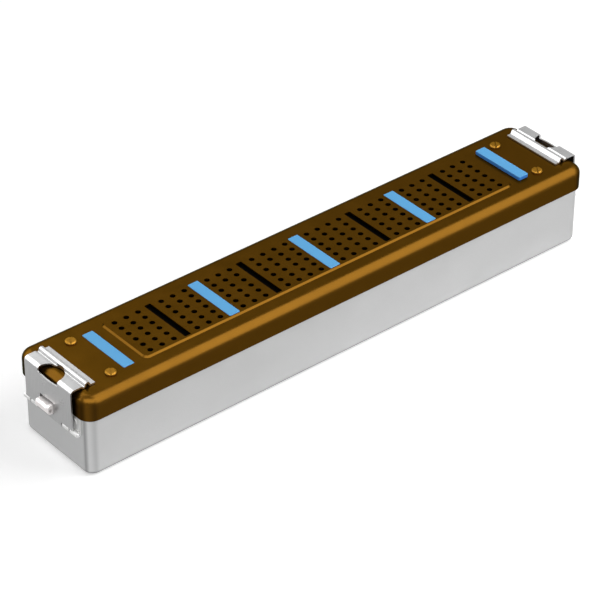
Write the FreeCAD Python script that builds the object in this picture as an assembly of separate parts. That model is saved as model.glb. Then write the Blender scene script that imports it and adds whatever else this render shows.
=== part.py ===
"""Sterilization container for one long, slim instrument: a closed tub, a perforated lid with a
silicone seal and a filter, and two hinged end latches. Sizes in millimetres.
X is the length, Y the width, Z is up. The origin is the centre of the tub's base."""
import FreeCAD
import Part
import math
import os

os.makedirs("parts", exist_ok=True)

# Tub
tub_length = 452.0
tub_width = 76.0
tub_height = 57.0
tub_wall = 1.5
tub_corner_radius = 8.0
tub_floor_radius = 4.0

# Lid, drawn from one sheet, with a skirt that hangs outside the tub
lid_sheet = 1.5
skirt_clearance = 0.6
skirt_depth = 17.8
lid_corner_radius = 10.0
lid_edge_radius = 6.5

# Seal between the lid and the rim of the tub
gasket_width = 6.0
gasket_height = 6.2
gasket_corner_radius = 2.5
seal_gap = 0.1

# Raised and perforated panel of the lid
panel_end_margin = 61.1
panel_side_margin = 15.6
panel_rise = 1.2
panel_slope_angle = 45.0
panel_corner_radius = 3.0
hole_diameter = 4.2
hole_pitch_x = 10.0
hole_pitch_y = 8.0
hole_end_margin = 4.9
hole_side_margin = 2.2

# Steam slots and stacking bars stand in place of whole columns of holes
steam_slot_width = 5.2
steam_slot_side_margin = 1.5
steam_slot_corner = 0.8
inner_slot_column = 5
outer_slot_column = 13
bar_column = 9

# Silicone stacking bars that snap through slots in the lid
bar_width = 9.0
bar_side_margin = 0.8
bar_corner_radius = 1.0
bar_edge_radius = 0.5
end_bar_distance = 13.5
low_bar_rise = 0.3
high_bar_rise = 2.75
bar_slot_clearance = 0.1
bar_flange_overhang = 1.5
bar_flange_thickness = 1.0

# Filter sheet and the slotted plate that holds it under the panel
filter_margin = 4.0
filter_thickness = 0.5
retainer_end_margin = 35.0
retainer_side_margin = 4.0
retainer_thickness = 1.0
retainer_corner_radius = 3.0
retainer_slot_width = 5.0
retainer_slot_length = 40.0
retainer_slot_corner = 2.0
retainer_slot_pitch = 15.0
retainer_window_clearance = 0.6

# Slotted screws of the retainer
screw_distance = 28.0
screw_side_margin = 2.0
screw_head_radius = 4.25
screw_head_height = 1.7
screw_head_rounding = 1.3
screw_shank_radius = 2.0
screw_hole_clearance = 0.15
screw_tip = 1.0
drive_slot_width = 1.2
drive_slot_depth = 0.9
drive_slot_angle = 56.0
nut_across_flats = 7.0
nut_height = 3.2
thread_clearance = 0.05
screw_seal_radius = 4.5

# Latch plate
latch_side_margin = 12.0
latch_sheet = 1.2
latch_bend_radius = 2.4
latch_flange_rise = 1.6
latch_flange_length = 9.3
latch_groove_slope = 1.1
latch_groove_length = 1.6
latch_seat_gap = 0.5
latch_crest_slope = 1.0
latch_crest_length = 2.0
latch_crest_rise = 4.4
latch_tail_slope = 1.4
latch_lip_length = 4.0
latch_lip_gap = 0.4
latch_fold_radius = 0.9
finger_radius = 11.0
finger_setback = 1.4
finger_edge_drop = 1.6
lip_half_width = 9.5
lip_depth = 4.0
lip_bulge = 0.7

# Hinge of a latch
hinge_drop = 14.0
hinge_pin_radius = 1.0
running_clearance = 0.05
hinge_gap = 0.3
knuckle_side_gap = 0.3
latch_knuckle_width = 27.2
bracket_knuckle_width = 7.0
bracket_knuckle_spacing = 1.8
hinge_pin_overhang = 0.5
hinge_pin_rounding = 0.33
bracket_sheet = 1.0
bracket_leg = 3.5
bracket_skirt_gap = 1.5
notch_clearance = 0.6

# Seal lug on the bracket, which passes through a window in the latch plate
lug_width = 14.5
lug_offset = 1.75
lug_lift = 5.2
lug_height = 5.9
lug_reach = 4.4
lug_rounding = 2.0
ear_width = 2.2
ear_rise = 1.2
seal_hole_radius = 1.3
seal_hole_lift = 2.9
seal_hole_inset = 2.1
window_side_gap = 0.5
window_bottom_gap = 0.8
window_top_gap = 2.6

# Rivets
rivet_radius = 1.5
rivet_head_radius = 2.4
rivet_head_height = 0.8
rivet_clearance = 0.05
rivet_edge_distance = 5.7
rivet_lug_distance = 5.0
lug_rivet_inset = 3.5

# How far a cutting solid passes a face that it cuts through, and how near two heights count as one
overcut = 1.0
same_place = 0.0001

# Places worked out from the sizes above
lid_length = tub_length + 2 * (skirt_clearance + lid_sheet)
lid_width = tub_width + 2 * (skirt_clearance + lid_sheet)
lid_ceiling = tub_height + seal_gap + gasket_height
lid_top = lid_ceiling + lid_sheet
skirt_bottom = lid_top - skirt_depth
panel_length = lid_length - 2 * panel_end_margin
panel_width = lid_width - 2 * panel_side_margin
panel_top = lid_top + panel_rise
panel_run = panel_rise / math.tan(math.radians(panel_slope_angle))
slope_inset = lid_sheet * math.tan(math.radians(panel_slope_angle / 2))
steam_slot_length = panel_width - 2 * steam_slot_side_margin
bar_length = panel_width - 2 * bar_side_margin
end_bar_position = panel_length / 2 + end_bar_distance
screw_position_x = panel_length / 2 + screw_distance
screw_position_y = panel_width / 2 - screw_side_margin
retainer_length = panel_length + 2 * retainer_end_margin
retainer_width = panel_width + 2 * retainer_side_margin
retainer_top = lid_ceiling - filter_thickness
retainer_bottom = retainer_top - retainer_thickness
tub_end = tub_length / 2
hinge_height = skirt_bottom - hinge_drop
knuckle_radius = hinge_pin_radius + running_clearance + latch_sheet
hinge_x = tub_end + hinge_gap + knuckle_radius
latch_face = hinge_x + knuckle_radius
latch_width = tub_width - 2 * latch_side_margin
bracket_face = tub_end + bracket_sheet
bracket_knuckle_radius = hinge_pin_radius + bracket_sheet
bracket_bottom = hinge_height + bracket_leg
bracket_top = skirt_bottom - bracket_skirt_gap
inner_knuckle_start = latch_knuckle_width / 2 + knuckle_side_gap
inner_knuckle_end = inner_knuckle_start + bracket_knuckle_width
outer_knuckle_start = inner_knuckle_end + bracket_knuckle_spacing
outer_knuckle_end = outer_knuckle_start + bracket_knuckle_width
lug_bottom = hinge_height + lug_lift
lug_top = lug_bottom + lug_height
lug_start = -lug_offset - lug_width / 2
lug_end = -lug_offset + lug_width / 2
rivet_height = (bracket_bottom + bracket_top) / 2


def vec(x, y, z):
    return FreeCAD.Vector(x, y, z)


def rounded_rectangle(length, width, radius, z):
    """Closed wire of a rectangle with round corners, centred on the Z axis."""
    x = length / 2
    y = width / 2
    centres = [(x - radius, y - radius), (radius - x, y - radius),
               (radius - x, radius - y), (x - radius, radius - y)]
    edges = []
    last = None
    for corner, (cx, cy) in enumerate(centres):
        turn = math.pi / 2 * corner
        points = []
        for step in (0, math.pi / 4, math.pi / 2):
            angle = turn + step
            points.append(vec(cx + radius * math.cos(angle), cy + radius * math.sin(angle), z))
        if last is not None:
            edges.append(Part.LineSegment(last, points[0]).toShape())
        edges.append(Part.Arc(*points).toShape())
        last = points[2]
    first = vec(x, y - radius, z)
    edges.append(Part.LineSegment(last, first).toShape())
    return Part.Wire(edges)


def rounded_prism(length, width, radius, bottom, top):
    """Upright prism over a rectangle with round corners."""
    face = Part.Face(rounded_rectangle(length, width, radius, bottom))
    return face.extrude(vec(0, 0, top - bottom))


def edges_at(shape, z):
    """Edges that lie in the horizontal plane at height z."""
    found = []
    for edge in shape.Edges:
        box = edge.BoundBox
        if abs(box.ZMin - z) < same_place and abs(box.ZMax - z) < same_place:
            found.append(edge)
    return found


def rounded_box(length, width, radius, bottom, top, edge_radius, rounded_at):
    """Rounded prism with its top or bottom edges rounded as well."""
    prism = rounded_prism(length, width, radius, bottom, top)
    return prism.makeFillet(edge_radius, edges_at(prism, rounded_at))


def block(x0, x1, y0, y1, z0, z1):
    """Box between two corners."""
    return Part.makeBox(x1 - x0, y1 - y0, z1 - z0, vec(x0, y0, z0))


def rod_y(radius, x, z, y0, y1):
    """Cylinder along Y."""
    return Part.makeCylinder(radius, y1 - y0, vec(x, y0, z), vec(0, 1, 0))


def rod_x(radius, x0, x1, y, z):
    """Cylinder along X."""
    return Part.makeCylinder(radius, x1 - x0, vec(x0, y, z), vec(1, 0, 0))


def rod_z(radius, x, y, z0, z1):
    """Upright cylinder."""
    return Part.makeCylinder(radius, z1 - z0, vec(x, y, z0))


def moved(shape, x, y, z):
    copy = shape.copy()
    copy.translate(vec(x, y, z))
    return copy


def at_left(shape):
    """The same piece at the other end of the container, turned half round about Z."""
    copy = shape.copy()
    copy.rotate(vec(0, 0, 0), vec(0, 0, 1), 180)
    return copy


def fused(shapes):
    return shapes[0].fuse(shapes[1:]).removeSplitter()


def save(name, shapes):
    solids = []
    for shape in shapes:
        solids.extend(shape.Solids)
    result = solids[0] if len(solids) == 1 else Part.makeCompound(solids)
    result.exportStep("parts/" + name + ".step")


def sheet_section(corners, radii, thickness):
    """Face of a folded sheet in the XZ plane. The corners are on its middle line, and each
    fold between them has its radius there."""

    def straight(a, b):
        return Part.LineSegment(vec(a[0], 0, a[1]), vec(b[0], 0, b[1])).toShape()

    def shifted(distance):
        lines = []
        for a, b in zip(corners, corners[1:]):
            length = math.hypot(b[0] - a[0], b[1] - a[1])
            nx = -(b[1] - a[1]) / length
            nz = (b[0] - a[0]) / length
            lines.append((nx, nz))
        points = [(corners[0][0] + distance * lines[0][0], corners[0][1] + distance * lines[0][1])]
        for i in range(1, len(corners) - 1):
            ax, az = lines[i - 1]
            bx, bz = lines[i]
            scale = distance / (1 + ax * bx + az * bz)
            points.append((corners[i][0] + scale * (ax + bx), corners[i][1] + scale * (az + bz)))
        last = lines[-1]
        points.append((corners[-1][0] + distance * last[0], corners[-1][1] + distance * last[1]))
        return points

    def side(distance):
        """Edges of one face of the sheet, with its folds as arcs."""
        points = shifted(distance)
        edges = []
        start = points[0]
        for i in range(1, len(points) - 1):
            before, here, after = points[i - 1], points[i], points[i + 1]
            in_length = math.hypot(here[0] - before[0], here[1] - before[1])
            out_length = math.hypot(after[0] - here[0], after[1] - here[1])
            ux, uz = (here[0] - before[0]) / in_length, (here[1] - before[1]) / in_length
            vx, vz = (after[0] - here[0]) / out_length, (after[1] - here[1]) / out_length
            cross = ux * vz - uz * vx
            turn = math.atan2(abs(cross), ux * vx + uz * vz)
            radius = radii[i - 1] - distance * math.copysign(1, cross)
            reach = radius * math.tan(turn / 2)
            rise = radius / math.cos(turn / 2) - radius
            bx, bz = vx - ux, vz - uz
            half = math.hypot(bx, bz)
            enter = (here[0] - reach * ux, here[1] - reach * uz)
            leave = (here[0] + reach * vx, here[1] + reach * vz)
            middle = (here[0] + rise * bx / half, here[1] + rise * bz / half)
            edges.append(straight(start, enter))
            arc = Part.Arc(vec(enter[0], 0, enter[1]), vec(middle[0], 0, middle[1]),
                           vec(leave[0], 0, leave[1]))
            edges.append(arc.toShape())
            start = leave
        edges.append(straight(start, points[-1]))
        return edges, points[0], points[-1]

    left, left_start, left_end = side(thickness / 2)
    right, right_start, right_end = side(-thickness / 2)
    edges = left + right + [straight(left_start, right_start), straight(left_end, right_end)]
    wire = Part.Wire(Part.__sortEdges__(edges))
    return Part.Face(wire)


def make_tub():
    """Drawn tub with round corners and a round floor edge."""
    outside = rounded_box(tub_length, tub_width, tub_corner_radius, 0, tub_height, tub_floor_radius, 0)
    inside = rounded_box(tub_length - 2 * tub_wall, tub_width - 2 * tub_wall, tub_corner_radius - tub_wall,
                         tub_wall, tub_height, tub_floor_radius - tub_wall, tub_wall)
    tub = outside.cut(inside)
    holes = []
    for y in rivet_rows() + lug_rivet_rows():
        hole = rod_x(rivet_radius + rivet_clearance, tub_end - tub_wall - overcut, tub_end + overcut, y,
                     rivet_height)
        holes.append(hole)
        holes.append(at_left(hole))
    return tub.cut(holes)


def rivet_rows():
    outer = outer_knuckle_end - rivet_edge_distance
    inner = lug_width / 2 + rivet_lug_distance
    return [-outer, -inner, inner, outer]


def lug_rivet_rows():
    return [lug_start + lug_rivet_inset, lug_end - lug_rivet_inset]


def panel_frustum(base_z, inset):
    """Raised panel with sloping sides: its outer form, or with an inset the recess beneath."""
    top = rounded_rectangle(panel_length - 2 * inset, panel_width - 2 * inset,
                            panel_corner_radius, base_z + panel_rise)
    base = rounded_rectangle(panel_length + 2 * (panel_run - inset), panel_width + 2 * (panel_run - inset),
                             panel_corner_radius + panel_run, base_z)
    return Part.makeLoft([base, top], True, True)


def lid_cavity(bottom):
    """Space inside the lid's sheet above a height, which the gasket's outside also follows."""
    length = lid_length - 2 * lid_sheet
    width = lid_width - 2 * lid_sheet
    cavity = rounded_prism(length, width, lid_corner_radius - lid_sheet, bottom, lid_ceiling)
    return cavity.makeFillet(lid_edge_radius - lid_sheet, edges_at(cavity, lid_ceiling))


def steam_slot_positions():
    columns = [-outer_slot_column, -inner_slot_column, inner_slot_column, outer_slot_column]
    return [column * hole_pitch_x for column in columns]


def panel_bar_positions():
    return [column * hole_pitch_x for column in (-bar_column, 0, bar_column)]


def hole_columns():
    """Column positions of the perforation, which pass over the bars and the slots."""
    half_count = int((panel_length / 2 - hole_end_margin) / hole_pitch_x)
    columns = []
    for index in range(-half_count, half_count + 1):
        x = index * hole_pitch_x
        clear_of_bars = all(abs(x - p) > (bar_width + hole_diameter) / 2 for p in panel_bar_positions())
        clear_of_slots = all(abs(x - p) > (steam_slot_width + hole_diameter) / 2
                             for p in steam_slot_positions())
        if clear_of_bars and clear_of_slots:
            columns.append(x)
    return columns


def hole_rows():
    usable = panel_width - 2 * hole_side_margin - hole_diameter
    count = int(usable / hole_pitch_y) + 1
    return [(index - (count - 1) / 2) * hole_pitch_y for index in range(count)]


def screw_places():
    places = []
    for x in (-screw_position_x, screw_position_x):
        for y in (-screw_position_y, screw_position_y):
            places.append((x, y))
    return places


def bar_slot(x, clearance, bottom, top):
    slot = rounded_prism(bar_width + 2 * clearance, bar_length + 2 * clearance,
                         bar_corner_radius + clearance, bottom, top)
    return moved(slot, x, 0, 0)


def make_lid():
    """Lid sheet with its raised panel, perforation, steam slots and bar slots."""
    outside = rounded_box(lid_length, lid_width, lid_corner_radius, skirt_bottom, lid_top,
                          lid_edge_radius, lid_top)
    solid = outside.fuse(panel_frustum(lid_top, 0))
    shell = solid.cut([lid_cavity(skirt_bottom), panel_frustum(lid_ceiling, slope_inset)])
    cuts = []
    for x in hole_columns():
        for y in hole_rows():
            cuts.append(rod_z(hole_diameter / 2, x, y, lid_ceiling, panel_top + overcut))
    for x in steam_slot_positions():
        slot = rounded_prism(steam_slot_width, steam_slot_length, steam_slot_corner, lid_ceiling,
                             panel_top + overcut)
        cuts.append(moved(slot, x, 0, 0))
    for x in panel_bar_positions() + [-end_bar_position, end_bar_position]:
        cuts.append(bar_slot(x, bar_slot_clearance, lid_ceiling - overcut, panel_top + overcut))
    for x, y in screw_places():
        cuts.append(rod_z(screw_shank_radius + screw_hole_clearance, x, y, lid_ceiling - overcut,
                          panel_top + overcut))
    return shell.cut(cuts).removeSplitter()


def make_gasket():
    """Silicone ring in the corner between the lid's ceiling and its skirt."""
    ring = lid_cavity(lid_ceiling - gasket_height)
    inset = lid_sheet + gasket_width
    core = rounded_prism(lid_length - 2 * inset, lid_width - 2 * inset, gasket_corner_radius,
                         lid_ceiling - gasket_height - overcut, lid_ceiling + overcut)
    return ring.cut(core)


def make_bar(x, sheet_top, rise):
    """Stacking bar: a body through the sheet, with a flange that holds it from below."""
    sheet_bottom = sheet_top - lid_sheet
    body = rounded_box(bar_width, bar_length, bar_corner_radius, sheet_bottom - bar_flange_thickness,
                       sheet_top + rise, bar_edge_radius, sheet_top + rise)
    flange = rounded_prism(bar_width + 2 * bar_flange_overhang, bar_length, bar_corner_radius,
                           sheet_bottom - bar_flange_thickness, sheet_bottom)
    return moved(fused([body, flange]), x, 0, 0)


def make_filter():
    return rounded_prism(panel_length + 2 * filter_margin, panel_width + 2 * filter_margin,
                         panel_corner_radius, retainer_top, lid_ceiling)


def make_retainer():
    """Slotted plate under the filter, with windows for the flanges of the end bars."""
    plate = rounded_prism(retainer_length, retainer_width, retainer_corner_radius, retainer_bottom,
                          retainer_top)
    cuts = []
    count = int((panel_length / 2 - retainer_slot_width) / retainer_slot_pitch)
    for index in range(-count, count + 1):
        slot = rounded_prism(retainer_slot_width, retainer_slot_length, retainer_slot_corner,
                             retainer_bottom - overcut, retainer_top + overcut)
        cuts.append(moved(slot, index * retainer_slot_pitch, 0, 0))
    for x in (-end_bar_position, end_bar_position):
        window = rounded_prism(bar_width + 2 * (bar_flange_overhang + retainer_window_clearance),
                               bar_length + 2 * retainer_window_clearance, bar_corner_radius,
                               retainer_bottom - overcut, retainer_top + overcut)
        cuts.append(moved(window, x, 0, 0))
    for x, y in screw_places():
        cuts.append(rod_z(screw_shank_radius + screw_hole_clearance, x, y, retainer_bottom - overcut,
                          retainer_top + overcut))
    return plate.cut(cuts)


def make_screw(x, y):
    """Round-headed screw with a straight drive slot."""
    head = rod_z(screw_head_radius, 0, 0, lid_top, lid_top + screw_head_height)
    head = head.makeFillet(screw_head_rounding, edges_at(head, lid_top + screw_head_height))
    tip = retainer_bottom - nut_height - screw_tip
    screw = fused([head, rod_z(screw_shank_radius, 0, 0, tip, lid_top)])
    reach = screw_head_radius + overcut
    head_top = lid_top + screw_head_height
    groove = block(-reach, reach, -drive_slot_width / 2, drive_slot_width / 2,
                   head_top - drive_slot_depth, head_top + overcut)
    groove.rotate(vec(0, 0, 0), vec(0, 0, 1), drive_slot_angle)
    return moved(screw.cut(groove), x, y, 0)


def make_nut(x, y):
    """Hexagon nut below the retainer."""
    corner = nut_across_flats / 2 / math.cos(math.pi / 6)
    points = []
    for index in range(7):
        angle = math.pi / 3 * index
        points.append(vec(corner * math.cos(angle), corner * math.sin(angle), retainer_bottom - nut_height))
    nut = Part.Face(Part.makePolygon(points)).extrude(vec(0, 0, nut_height))
    bore = rod_z(screw_shank_radius + thread_clearance, 0, 0, retainer_bottom - nut_height - overcut,
                 retainer_bottom + overcut)
    return moved(nut.cut(bore), x, y, 0)


def make_screw_seal(x, y):
    """Silicone washer between the lid and the retainer."""
    ring = rod_z(screw_seal_radius, x, y, retainer_top, lid_ceiling)
    bore = rod_z(screw_shank_radius + thread_clearance, x, y, retainer_top - overcut, lid_ceiling + overcut)
    return ring.cut(bore)


def bracket_knuckle_spans():
    spans = []
    for start, end in ((inner_knuckle_start, inner_knuckle_end), (outer_knuckle_start, outer_knuckle_end)):
        spans.append((start, end))
        spans.append((-end, -start))
    return spans


def make_bracket():
    """Hinge bracket on the tub's end wall: a plate whose four legs curl round the pin."""
    plate = block(tub_end, bracket_face, -outer_knuckle_end, outer_knuckle_end, bracket_bottom, bracket_top)
    pieces = [plate]
    bores = []
    for start, end in bracket_knuckle_spans():
        pieces.append(block(tub_end, bracket_face, start, end, hinge_height, bracket_bottom))
        pieces.append(rod_y(bracket_knuckle_radius, hinge_x, hinge_height, start, end))
        web_end = hinge_x - hinge_pin_radius
        pieces.append(block(tub_end, web_end, start, end, hinge_height, hinge_height + bracket_sheet))
        bores.append(rod_y(hinge_pin_radius + running_clearance / 2, hinge_x, hinge_height,
                           start - overcut, end + overcut))
    bracket = fused(pieces)
    for y in rivet_rows() + lug_rivet_rows():
        bores.append(rod_x(rivet_radius + rivet_clearance, tub_end - overcut, bracket_face + overcut, y,
                           rivet_height))
    return bracket.cut(bores)


def make_hinge_pin():
    """Pin through all the knuckles of one latch."""
    half = outer_knuckle_end + hinge_pin_overhang
    pin = rod_y(hinge_pin_radius, hinge_x, hinge_height, -half, half)
    ends = []
    for edge in pin.Edges:
        if edge.BoundBox.YLength < same_place:
            ends.append(edge)
    return pin.makeFillet(hinge_pin_rounding, ends)


def make_rivet(y):
    """Rivet that joins the bracket to the tub, with a low head on both sides."""
    inner = tub_end - tub_wall
    shank = rod_x(rivet_radius, inner, bracket_face, y, rivet_height)
    inside_head = rod_x(rivet_head_radius, inner - rivet_head_height, inner, y, rivet_height)
    outside_head = rod_x(rivet_head_radius, bracket_face, bracket_face + rivet_head_height, y, rivet_height)
    return fused([shank, inside_head, outside_head])


def make_lug():
    """Seal lug with an ear, a cross hole for a wire seal and two rivet ends of its own."""
    reach = latch_face + lug_reach
    body = block(bracket_face, reach, lug_start, lug_end, lug_bottom, lug_top)
    ear = block(bracket_face, reach, lug_end - ear_width, lug_end, lug_bottom, lug_top + ear_rise)
    rounded = []
    for piece in (body, ear):
        corners = []
        for edge in piece.Edges:
            box = edge.BoundBox
            if box.XMin > reach - same_place and box.XLength < same_place and box.ZLength < same_place:
                corners.append(edge)
        rounded.append(piece.makeFillet(lug_rounding, corners))
    lug = fused(rounded)
    seal_hole = rod_y(seal_hole_radius, reach - seal_hole_inset, lug_bottom + seal_hole_lift,
                      lug_start - overcut, lug_end + overcut)
    lug = lug.cut(seal_hole)
    inner = tub_end - tub_wall
    pieces = [lug]
    for y in lug_rivet_rows():
        pieces.append(rod_x(rivet_radius, inner, bracket_face + overcut, y, rivet_height))
        pieces.append(rod_x(rivet_head_radius, inner - rivet_head_height, inner, y, rivet_height))
    return fused(pieces)


def latch_corners():
    """Middle line of the latch sheet: up the end, over the lid's edge, down into the groove
    that presses on the lid, over the crest, and out to the lip."""
    middle = latch_sheet / 2
    wall_x = latch_face - middle
    flange_z = lid_top + latch_flange_rise + middle
    groove_z = lid_top + latch_seat_gap + middle
    crest_z = lid_top + latch_crest_rise - middle
    lip_z = lid_top + latch_lip_gap + middle
    flange_end = latch_face - latch_flange_length
    groove_start = flange_end - latch_groove_slope
    groove_end = groove_start - latch_groove_length
    crest_start = groove_end - latch_crest_slope
    crest_end = crest_start - latch_crest_length
    lip_start = crest_end - latch_tail_slope
    lip_end = lip_start - latch_lip_length
    return [
        (wall_x, hinge_height),
        (wall_x, flange_z),
        (flange_end, flange_z),
        (groove_start, groove_z),
        (groove_end, groove_z),
        (crest_start, crest_z),
        (crest_end, crest_z),
        (lip_start, lip_z),
        (lip_end, lip_z),
    ]


def finger_lip():
    """Thin cap of a sphere that the plate's top edge bulges into, and the space behind it."""
    circle_radius = (lip_half_width ** 2 + lip_depth ** 2) / (2 * lip_depth)
    edge_z = lid_top - finger_edge_drop
    edge_offset = circle_radius - lip_depth
    spread = circle_radius ** 2 - edge_offset ** 2
    depth = (spread - lip_bulge ** 2) / (2 * lip_bulge)
    sphere_radius = math.hypot(depth, circle_radius)
    centre = vec(latch_face - depth, 0, edge_z + edge_offset)
    keep = block(latch_face - latch_sheet, latch_face + 2 * lip_bulge, -circle_radius, circle_radius,
                 edge_z - 2 * lip_depth, edge_z)
    outer = Part.makeSphere(sphere_radius, centre).common(keep)
    inner = Part.makeSphere(sphere_radius - latch_sheet, centre)
    return outer, inner.common(keep)


def make_latch():
    """Latch plate folded from one strip, with knuckles, finger cut-out and lug window."""
    half = latch_width / 2
    corners = latch_corners()
    radii = [latch_bend_radius] + [latch_fold_radius] * (len(corners) - 3)
    section = sheet_section(corners, radii, latch_sheet)
    section.translate(vec(0, -half, 0))
    plate = section.extrude(vec(0, latch_width, 0))
    knuckle = rod_y(knuckle_radius, hinge_x, hinge_height, -half, half)
    lip, lip_space = finger_lip()
    lip_edge = lid_top - finger_edge_drop
    finger = rod_z(finger_radius, latch_face - finger_setback, 0, lip_edge, lid_top + 2 * latch_crest_rise)
    plate = fused([plate.cut(finger), knuckle, lip])
    bore = rod_y(hinge_pin_radius + running_clearance, hinge_x, hinge_height, -half - overcut, half + overcut)
    cuts = [lip_space, bore]
    notch_top = hinge_height + bracket_knuckle_radius + notch_clearance
    notch_start = latch_knuckle_width / 2
    notch_end = half + overcut
    for y0, y1 in ((notch_start, notch_end), (-notch_end, -notch_start)):
        cuts.append(block(tub_end, latch_face + overcut, y0, y1, hinge_height - 2 * knuckle_radius,
                          notch_top))
    cuts.append(block(bracket_face, latch_face + overcut, lug_start - window_side_gap,
                      lug_end + window_side_gap, lug_bottom - window_bottom_gap, lug_top + window_top_gap))
    return plate.cut(cuts)


save("tub_shell", [make_tub()])
save("lid_shell", [make_lid()])
save("lid_gasket", [make_gasket()])
save("filter_sheet", [make_filter()])
save("filter_retainer", [make_retainer()])
save("lid_screws", [make_screw(x, y) for x, y in screw_places()])
save("screw_nuts", [make_nut(x, y) for x, y in screw_places()])
save("screw_seals", [make_screw_seal(x, y) for x, y in screw_places()])
for name, x in zip(("left", "middle", "right"), panel_bar_positions()):
    save("stacking_bar_" + name, [make_bar(x, panel_top, low_bar_rise)])
save("end_bar_left", [make_bar(-end_bar_position, lid_top, low_bar_rise)])
save("end_bar_right", [make_bar(end_bar_position, lid_top, high_bar_rise)])

end_pieces = {
    "hinge_bracket": [make_bracket()],
    "hinge_pin": [make_hinge_pin()],
    "bracket_rivets": [make_rivet(y) for y in rivet_rows()],
    "seal_lug": [make_lug()],
    "latch_plate": [make_latch()],
}
for name, shapes in end_pieces.items():
    save(name + "_right", shapes)
    save(name + "_left", [at_left(shape) for shape in shapes])
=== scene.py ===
"""Looks of a sterilization container: a satin aluminium tub, a bronze-gold lid with light blue
stacking bars and a filter cloth, and two folded steel latches. Metres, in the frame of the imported
model."""
import math

import bpy
from mathutils import Matrix, Quaternion, Vector


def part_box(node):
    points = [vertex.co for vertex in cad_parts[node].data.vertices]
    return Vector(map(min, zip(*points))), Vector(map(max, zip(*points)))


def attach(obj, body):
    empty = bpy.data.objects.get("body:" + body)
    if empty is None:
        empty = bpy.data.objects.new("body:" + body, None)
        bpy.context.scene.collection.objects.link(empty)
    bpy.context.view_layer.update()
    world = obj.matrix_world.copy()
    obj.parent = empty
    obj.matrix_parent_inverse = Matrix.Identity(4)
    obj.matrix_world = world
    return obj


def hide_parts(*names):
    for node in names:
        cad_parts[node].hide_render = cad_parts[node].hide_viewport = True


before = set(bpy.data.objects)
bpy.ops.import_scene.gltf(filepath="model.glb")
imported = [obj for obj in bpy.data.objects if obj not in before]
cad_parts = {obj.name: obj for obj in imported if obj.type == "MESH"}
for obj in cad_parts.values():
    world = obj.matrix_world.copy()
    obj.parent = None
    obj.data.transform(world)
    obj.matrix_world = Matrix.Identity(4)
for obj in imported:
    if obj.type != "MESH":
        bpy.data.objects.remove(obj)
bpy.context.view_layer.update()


def add_to_scene(thing):
    bpy.context.scene.collection.objects.link(thing)
    return thing


def rgb(red, green, blue):
    return (red, green, blue, 1.0)


# Camera at the photograph's place. Its lens and film are in millimetres.
CAMERA_PLACE = Vector((-1.0986, -1.2941, 1.2202))
CAMERA_LOOK = Vector((0.525537, 0.626141, -0.575984))
CAMERA_ROLL = math.radians(0.3138)
CAMERA_LENS = 175.04
CAMERA_FILM = 36.0
CAMERA_NEAREST = 0.1
CAMERA_FARTHEST = 60.0

camera = add_to_scene(bpy.data.objects.new("camera", bpy.data.cameras.new("camera")))
camera.data.lens = CAMERA_LENS
camera.data.sensor_width = CAMERA_FILM
camera.data.clip_start = CAMERA_NEAREST
camera.data.clip_end = CAMERA_FARTHEST
camera.location = CAMERA_PLACE
camera.rotation_mode = "QUATERNION"
level_camera = CAMERA_LOOK.to_track_quat("-Z", "Y")
camera.rotation_quaternion = level_camera @ Quaternion((0, 0, 1), CAMERA_ROLL)
bpy.context.scene.camera = camera


# Node materials

# Z of a surface's normal, from where to where ...
WALL_TO_FLAT = (0.25, 0.6)  # a wall becomes a flat face
# UNDER_TO_WALL sets the range of the painted shade under edges that turn downwards
UNDER_TO_WALL = (-0.4, -0.1)  # an edge that turns downwards becomes a wall
# FLANK_TO_TOP sets where the painted shade of a bar's upright flank gives way to its top colour
FLANK_TO_TOP = (0.2, 0.8)  # the flank of a bar becomes its top


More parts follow.
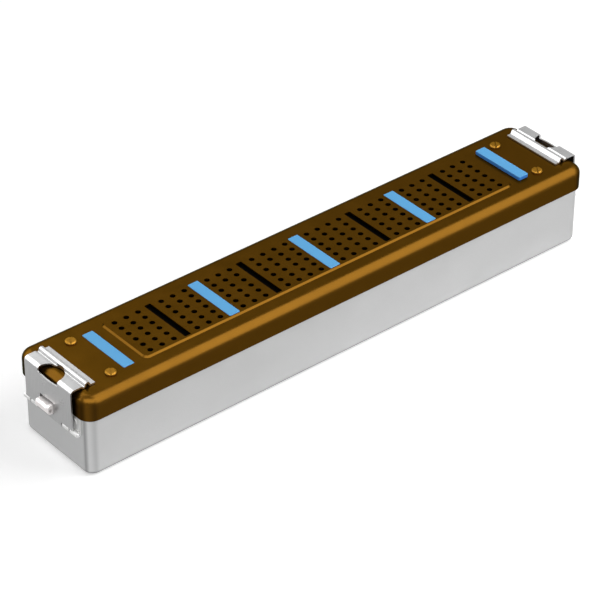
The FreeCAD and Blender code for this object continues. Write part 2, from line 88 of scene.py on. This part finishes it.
class Surface:
    """A node material while it is being put together."""

    def __init__(self, name):
        self.material = bpy.data.materials.new(name)
        self.material.use_nodes = True
        self.nodes = self.material.node_tree.nodes
        self.links = self.material.node_tree.links
        self.shader = self.nodes["Principled BSDF"]
        found = self.nodes.new("ShaderNodeTexCoord").outputs
        self.place = found["Object"]
        self.facing = found["Normal"]

    def add(self, kind, inputs, **settings):
        made = self.nodes.new(kind)
        for key, value in settings.items():
            setattr(made, key, value)
        for key, value in inputs.items():
            self.feed(made.inputs[key], value)
        return made

    def feed(self, socket, value):
        if isinstance(value, bpy.types.NodeSocket):
            self.links.new(value, socket)
        else:
            socket.default_value = value

    def noise(self, scale, detail=2.0, stretch=(1, 1, 1)):
        """Noise whose grain is 1 / scale metres, or finer along a stretched axis."""
        mapped = self.add("ShaderNodeMapping", {"Vector": self.place, "Scale": stretch})
        grain = self.add("ShaderNodeTexNoise", {"Vector": mapped.outputs[0], "Scale": scale,
                                                "Detail": detail, "Roughness": 0.5})
        return grain.outputs["Fac"]

    def spread(self, value, low, high, start=0.3, end=0.7):
        """Value mapped from start..end to low..high."""
        ramp = self.add("ShaderNodeMapRange", {"Value": value, "From Min": start, "From Max": end,
                                               "To Min": low, "To Max": high})
        return ramp.outputs[0]

    def blend(self, factor, first, second):
        mixed = self.add("ShaderNodeMix", {}, data_type="RGBA")
        self.feed(mixed.inputs["Factor"], factor)
        for socket, value in zip([s for s in mixed.inputs if s.type == "RGBA"], (first, second)):
            self.feed(socket, value)
        return [s for s in mixed.outputs if s.type == "RGBA"][0]

    def calc(self, operation, first, second=0.0):
        return self.add("ShaderNodeMath", {0: first, 1: second}, operation=operation).outputs[0]

    def times(self, tone, factor):
        both = self.add("ShaderNodeVectorMath", {0: tone, 1: factor}, operation="MULTIPLY")
        return both.outputs[0]

    def part(self, vector, axis):
        return self.add("ShaderNodeSeparateXYZ", {"Vector": vector}).outputs[axis]

    def painted_corner_light(self, tone, painted_light_stops, under):
        """Tone with painted light that stands in for the reflections of rounded upright corners:
        stops give the factor of painted highlight and painted shade along each corner, from a wall
        that faces along Y at 0 to one that faces along X at 1, and under gives the factor of
        painted shade on edges that turn downwards."""
        level = self.add("ShaderNodeVectorMath", {0: self.times(self.facing, (1, 1, 0))},
                         operation="NORMALIZE").outputs[0]
        turned = self.calc("ABSOLUTE", self.part(level, "X"))
        ramp = self.add("ShaderNodeValToRGB", {"Fac": turned})
        ramp.color_ramp.interpolation = "EASE"
        brightest = max(factor for _, factor in painted_light_stops)
        steps = ramp.color_ramp.elements
        for position, factor in painted_light_stops:
            ends = {0: steps[0], 1: steps[-1]}
            step = ends[position] if position in ends else steps.new(position)
            step.color = rgb(*[factor / brightest] * 3)
        along = self.spread(ramp.outputs["Color"], 0, brightest, 0, 1)
        rise = self.part(self.facing, "Z")
        on_wall = self.spread(self.calc("ABSOLUTE", rise), 1, 0, *WALL_TO_FLAT)
        # Painted highlight and painted shade stripes across rounded upright corners, in place of
        # reflections
        corner_painted = self.blend(on_wall, tone, self.times(tone, along))
        # Painted shade under edges that turn downwards
        return self.times(corner_painted, self.spread(rise, under, 1, *UNDER_TO_WALL))

    def bump(self, height, depth, under=None):
        inputs = {"Height": height, "Distance": depth, "Strength": 1.0}
        if under is not None:
            inputs["Normal"] = under
        return self.add("ShaderNodeBump", inputs).outputs[0]

    def seen(self, light_path):
        """1 where the camera sees the surface, also in a mirror or through glass, and 0 where it
        lights others."""
        direct_or_mirrored = self.calc("MAXIMUM", light_path["Is Camera Ray"],
                                       light_path["Is Glossy Ray"])
        return self.calc("MAXIMUM", direct_or_mirrored, light_path["Is Transmission Ray"])

    def finish(self, **inputs):
        for key, value in inputs.items():
            self.feed(self.shader.inputs[key.replace("_", " ")], value)
        return self.material


def satin_metal(name, colour, lighter, metallic, rough, grain=2600, stretch=(1, 1, 1),
                streaks=0.0, edge=(1, 1, 1), coat=0.0, painted_light_stops=None):
    """Fine blasted or brushed metal with slow changes of tone and of gloss, and, if stops are
    given, painted highlight and painted shade at its corners and painted shade under edges that
    turn downwards."""
    s = Surface(name)
    slow = s.noise(14, detail=3)
    fine = s.noise(grain, stretch=stretch)
    smear = s.noise(60, detail=4)
    even = s.blend(s.spread(slow, 0, 1), colour, lighter)
    dim = rgb(*[channel * (1 - streaks) for channel in colour[:3]])
    tone = s.blend(s.spread(fine, 0, 1, start=0.35, end=0.65), dim, even)
    if painted_light_stops is not None:
        # Painted light: corner stripes from the stops, and painted shade of 0.6 under downward
        # edges
        tone = s.painted_corner_light(tone, painted_light_stops, under=0.6)
    gloss = s.spread(smear, rough - 0.04, rough + 0.05)
    normal = s.bump(fine, depth=2e-6, under=s.bump(slow, depth=1e-4))
    return s.finish(Base_Color=tone, Roughness=gloss, Normal=normal, Metallic=metallic,
                    Specular_Tint=rgb(*edge), Coat_Weight=coat, Coat_Roughness=0.2)


def rubber(name, colour, lighter, rough=0.6, flank_painted_shade=None):
    """Matte silicone with a fine grain, faint dull patches and, where a flank colour is given,
    painted
    shade: a deeper tone on its upright faces."""
    s = Surface(name)
    slow = s.noise(30, detail=3)
    fine = s.noise(3500)
    tone = s.blend(s.spread(slow, 0, 1), colour, lighter)
    if flank_painted_shade is not None:
        # Painted shade: upright faces take the deeper flank colour
        tone = s.blend(s.spread(s.part(s.facing, "Z"), 0, 1, *FLANK_TO_TOP), flank_painted_shade, tone)
    gloss = s.spread(s.noise(90, detail=4), rough - 0.06, rough + 0.08)
    normal = s.bump(fine, depth=5e-6, under=s.bump(slow, depth=5e-5))
    return s.finish(Base_Color=tone, Roughness=gloss, Normal=normal, Specular_IOR_Level=0.2)


def woven(name, between, thread, pitch, rough):
    """Plain cloth whose threads lie pitch metres apart, in tone and in relief. The bands of a wave
    texture repeat every pi / (10 * scale) metres."""
    s = Surface(name)
    waves = {"Vector": s.place, "Scale": math.pi / (10 * pitch), "Distortion": 0.4, "Detail": 1.0}
    warp, weft = [s.add("ShaderNodeTexWave", waves, bands_direction=side).outputs["Fac"]
                  for side in "XY"]
    relief = s.calc("MAXIMUM", warp, weft)
    gloss = s.spread(s.noise(90, detail=4), rough - 0.06, rough + 0.08)
    return s.finish(Base_Color=s.blend(relief, between, thread), Roughness=gloss,
                    Normal=s.bump(relief, depth=5e-5), Specular_IOR_Level=0.0)


# Tint of gold anodizing at grazing angles
GOLD_EDGE = (0.36, 0.42, 0.36)

finishes = (
    # Tub: painted highlight on the crown of each rounded upright corner between two painted dark
    # lines, in place of reflections
    satin_metal("tub_metal", rgb(0.475, 0.477, 0.477), rgb(0.51, 0.51, 0.512), metallic=0.6,
                rough=0.4, painted_light_stops=[(0, 1), (0.3, 0.86), (0.77, 1.14), (0.95, 0.6), (1, 1)]),
    # Lid: painted corner highlight and painted shade stripes, with its end walls painted darker as
    # if in shade
    satin_metal("lid_metal", rgb(0.066, 0.029, 0.0024), rgb(0.071, 0.032, 0.003), metallic=1.0,
                rough=0.32, edge=GOLD_EDGE, coat=0.022,
                painted_light_stops=[(0, 0.92), (0.3, 0.6), (0.76, 1.2), (0.95, 0.42), (1, 0.6)]),
    satin_metal("screw_metal", rgb(0.185, 0.09, 0.012), rgb(0.205, 0.1, 0.014), metallic=1.0,
                rough=0.42, edge=GOLD_EDGE),
    # Painted shade: the upright flanks of the bars get a deeper blue
    rubber("bar_silicone", rgb(0.12, 0.49, 0.93), rgb(0.13, 0.51, 0.95),
           flank_painted_shade=rgb(0.05, 0.31, 0.98)),
    rubber("seal_silicone", rgb(0.7, 0.71, 0.7), rgb(0.75, 0.75, 0.74), rough=0.5),
    woven("filter_fabric", rgb(0.003, 0.003, 0.003), rgb(0.006, 0.006, 0.006), pitch=0.0012,
          rough=0.85),
    satin_metal("inner_steel", rgb(0.5, 0.5, 0.51), rgb(0.54, 0.54, 0.55), metallic=0.9,
                rough=0.35),
    satin_metal("bracket_steel", rgb(0.8, 0.8, 0.79), rgb(0.84, 0.84, 0.83), metallic=0.25,
                rough=0.5),
    satin_metal("pin_steel", rgb(0.66, 0.66, 0.66), rgb(0.7, 0.7, 0.7), metallic=1.0, rough=0.25),
    satin_metal("lug_metal", rgb(0.82, 0.78, 0.77), rgb(0.86, 0.82, 0.81), metallic=0.55,
                rough=0.5),
    satin_metal("latch_steel", rgb(0.36, 0.36, 0.36), rgb(0.375, 0.375, 0.375), metallic=1.0,
                rough=0.3, grain=1300, stretch=(0.04, 1, 0.04), streaks=0.06),
)


def slot_of(material):
    """Name of the record's material slot, without the number that Blender adds to a copy."""
    return material.name.split(".")[0]


looks = {slot_of(finish): finish for finish in finishes}
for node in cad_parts.values():
    for holder in node.material_slots:
        holder.material = looks[slot_of(holder.material)]


# Filter cloth between the lid and the retainer
CLOTH_CELL = 0.002
CLOTH_THICKNESS = 0.0004
CLOTH_WAVE = 0.00004
CLOTH_WAVE_LENGTH = 0.016
CLOTH_CORNER = 0.004


def round_corner(x, y, limits):
    """Point pulled in onto the rounded corner of the cloth where it lies past it."""
    past = [max(abs(value) - limit, 0) for value, limit in zip((x, y), limits)]
    reach = math.hypot(*past)
    pull = min(1, CLOTH_CORNER / reach) if reach > 0 else 1
    return [math.copysign(abs(value) - over * (1 - pull), value)
            for value, over in zip((x, y), past)]


def filter_cloth():
    """Cloth of the filter's flat size, waved a little between the two plates that clamp it."""
    low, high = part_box("filter_sheet")
    middle, size = (low + high) / 2, high - low
    columns, rows = round(size.x / CLOTH_CELL), round(size.y / CLOTH_CELL)
    limits = (size.x / 2 - CLOTH_CORNER, size.y / 2 - CLOTH_CORNER)
    turn = math.tau / CLOTH_WAVE_LENGTH
    places = []
    for side in (1, -1):
        for column in range(columns + 1):
            for row in range(rows + 1):
                x, y = round_corner(size.x * (column / columns - 0.5), size.y * (row / rows - 0.5),
                                    limits)
                wave = CLOTH_WAVE * math.sin(turn * x) * math.cos(turn * y)
                places.append(middle + Vector((x, y, wave + side * CLOTH_THICKNESS / 2)))

    def top(step):
        return step[0] * (rows + 1) + step[1]

    def bottom(step):
        return (columns + 1) * (rows + 1) + top(step)

    faces = []
    for column in range(columns):
        for row in range(rows):
            ring = [(column, row), (column + 1, row), (column + 1, row + 1), (column, row + 1)]
            faces.append([top(step) for step in ring])
            faces.append([bottom(step) for step in reversed(ring)])
    smooth_faces = len(faces)
    rim = [(column, 0) for column in range(columns)]
    rim += [(columns, row) for row in range(rows)]
    rim += [(column, rows) for column in range(columns, 0, -1)]
    rim += [(0, row) for row in range(rows, 0, -1)]
    for here, there in zip(rim, rim[1:] + rim[:1]):
        faces.append([top(here), bottom(here), bottom(there), top(there)])

    mesh = bpy.data.meshes.new("filter_cloth")
    mesh.from_pydata(places, [], faces)
    mesh.materials.append(looks["filter_fabric"])
    for face in mesh.polygons[:smooth_faces]:
        face.use_smooth = True
    cloth = add_to_scene(bpy.data.objects.new("filter_cloth", mesh))
    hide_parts("filter_sheet")
    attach(cloth, "lid")


filter_cloth()


# Floor and world: how bright they look, and how much light the world gives
FLOOR_HALF = 9.0
FLOOR_LEVEL = -0.0002
FLOOR_GLOW = 0.45
WORLD_LIGHT = 0.42
WORLD_SEEN = 1.0

floor_mesh = bpy.data.meshes.new("floor")
floor_corners = ((-1, -1), (1, -1), (1, 1), (-1, 1))
floor_mesh.from_pydata([(x * FLOOR_HALF, y * FLOOR_HALF, FLOOR_LEVEL) for x, y in floor_corners],
                       [], [(0, 1, 2, 3)])
floor = add_to_scene(bpy.data.objects.new("floor", floor_mesh))
pale = Surface("floor_pale")
floor_seen = pale.seen(pale.nodes.new("ShaderNodeLightPath").outputs)
pale.finish(Base_Color=rgb(0.8, 0.8, 0.8), Roughness=0.9, Emission_Color=rgb(1, 1, 1),
            Emission_Strength=pale.calc("MULTIPLY", floor_seen, FLOOR_GLOW))
floor_mesh.materials.append(pale.material)

world = bpy.data.worlds.new("studio")
bpy.context.scene.world = world
world.use_nodes = True
tree = world.node_tree
background = tree.nodes["Background"]
background.inputs["Color"].default_value = rgb(1, 1, 1)
world_path = tree.nodes.new("ShaderNodeLightPath").outputs
world_seen = world_path["Is Camera Ray"]
for ray in ("Is Glossy Ray", "Is Transmission Ray"):
    either = tree.nodes.new("ShaderNodeMath")
    either.operation = "MAXIMUM"
    tree.links.new(world_seen, either.inputs[0])
    tree.links.new(world_path[ray], either.inputs[1])
    world_seen = either.outputs[0]
strength = tree.nodes.new("ShaderNodeMapRange")
strength.inputs["To Min"].default_value = WORLD_LIGHT
strength.inputs["To Max"].default_value = WORLD_SEEN
tree.links.new(world_seen, strength.inputs["Value"])
tree.links.new(strength.outputs[0], background.inputs["Strength"])


def softbox(name, direction, distance, along, size, radiance, on_gloss=True, on_matte=True):
    """Lamp that faces the object, size (along, across) in metres, set by how bright its face is
    and by whether it lights the glossy or the matte share of a surface."""
    lamp = bpy.data.lights.new(name, "AREA")
    lamp.shape = "RECTANGLE"
    lamp.size, lamp.size_y = size
    lamp.energy = radiance * math.pi * size[0] * size[1]
    made = add_to_scene(bpy.data.objects.new(name, lamp))
    away = Vector(direction).normalized()
    across = away.cross(Vector(along)).normalized()
    made.matrix_world = Matrix((across.cross(away), across, away)).transposed().to_4x4()
    made.location = away * distance
    made.visible_camera = False
    made.visible_glossy = on_gloss
    made.visible_diffuse = on_matte


softbox("key", (0.53, -0.45, 0.72), 3.0, along=(0.53, 0.85, 0), size=(1.8, 1.8), radiance=3.6,
        on_gloss=False)
softbox("edge strip", (0.53, -0.48, 0.69), 3.0, along=(0, 0.917, 0.4), size=(5.8, 2.4),
        radiance=5.2, on_matte=False)
softbox("back strip", (-0.375, 0.71, 0.59), 1.3, along=(0.916, 0, 0.401), size=(1.9, 0.8),
        radiance=3.7, on_matte=False)
softbox("corner strip", (-0.41, -0.42, 0.75), 3.0, along=(0.72, -0.69, 0), size=(4.6, 2.6),
        radiance=4.8, on_matte=False)

bpy.context.scene.view_settings.view_transform = "Standard"
